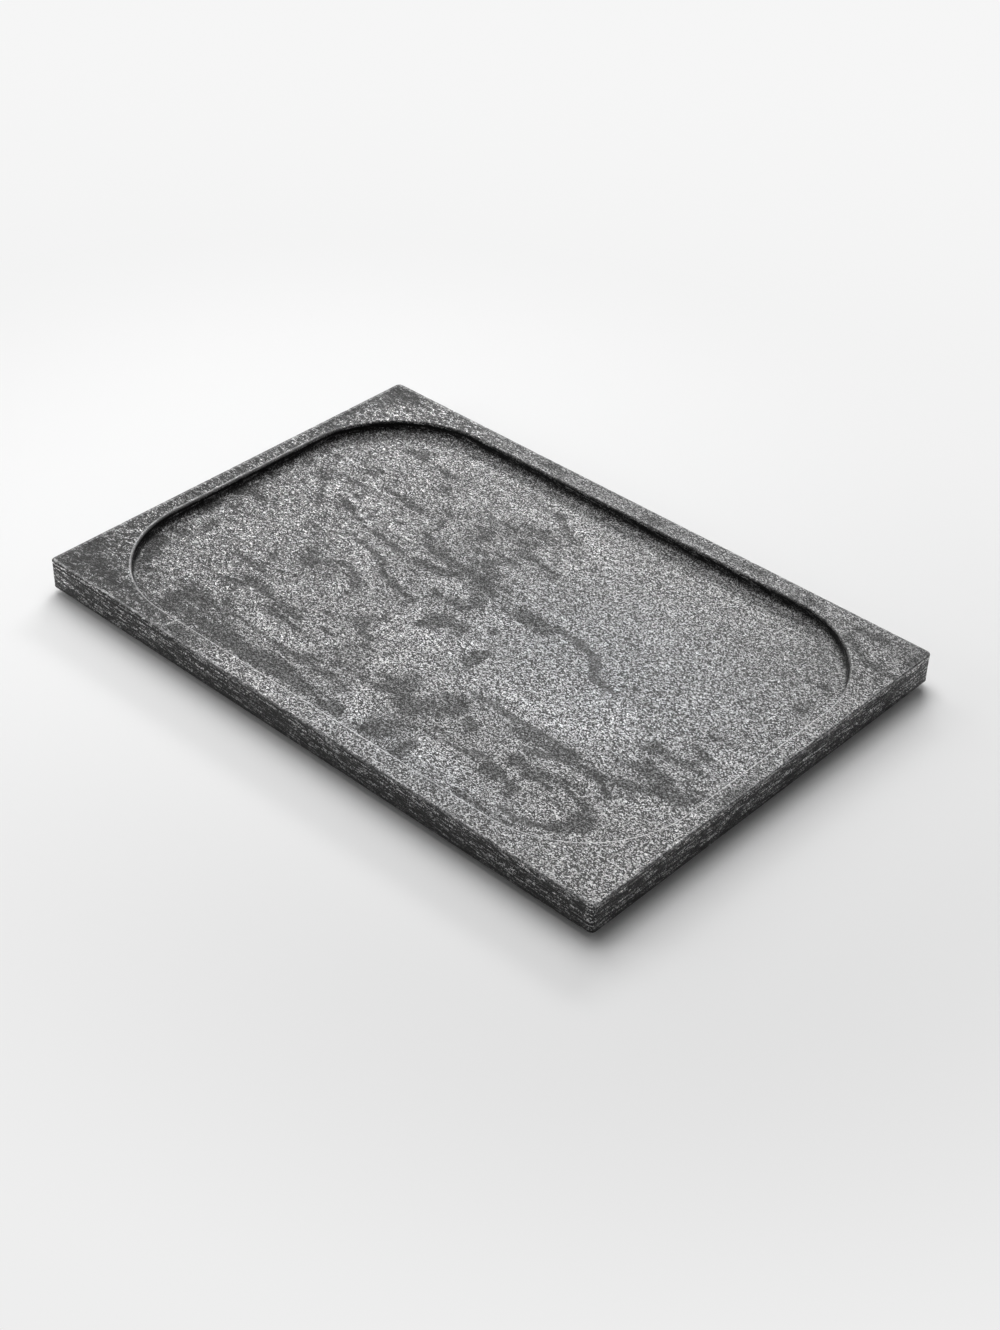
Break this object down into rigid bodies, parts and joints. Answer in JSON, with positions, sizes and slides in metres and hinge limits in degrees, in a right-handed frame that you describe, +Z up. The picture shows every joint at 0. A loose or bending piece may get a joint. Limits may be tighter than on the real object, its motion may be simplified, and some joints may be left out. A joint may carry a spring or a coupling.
{
  "type": "tea tray",
  "caption": "Flat rectangular stone tea tray with one wide shallow recess, large rounded recess corners and low rubber feet.",
  "frame": {"origin": "on the table, under the middle of the tray", "axes": "+X along the long side to the right, +Y from the front long side to the back one, +Z up"},
  "size_m": [0.38, 0.26, 0.0205],
  "materials": {
    "stone": "honed grey layered stone with fine bright grains",
    "foot_rubber": "matte black",
    "foam_tape": "matte dark grey foam"
  },
  "bodies": {
    "root": {"tray_slab": "stone", "foot_front_left": "foot_rubber", "foot_front_right": "foot_rubber", "foot_back_left": "foot_rubber", "foot_back_right": "foot_rubber", "foot_tape_front_left": "foam_tape", "foot_tape_front_right": "foam_tape", "foot_tape_back_left": "foam_tape", "foot_tape_back_right": "foam_tape"}
  },
  "joints": []
}
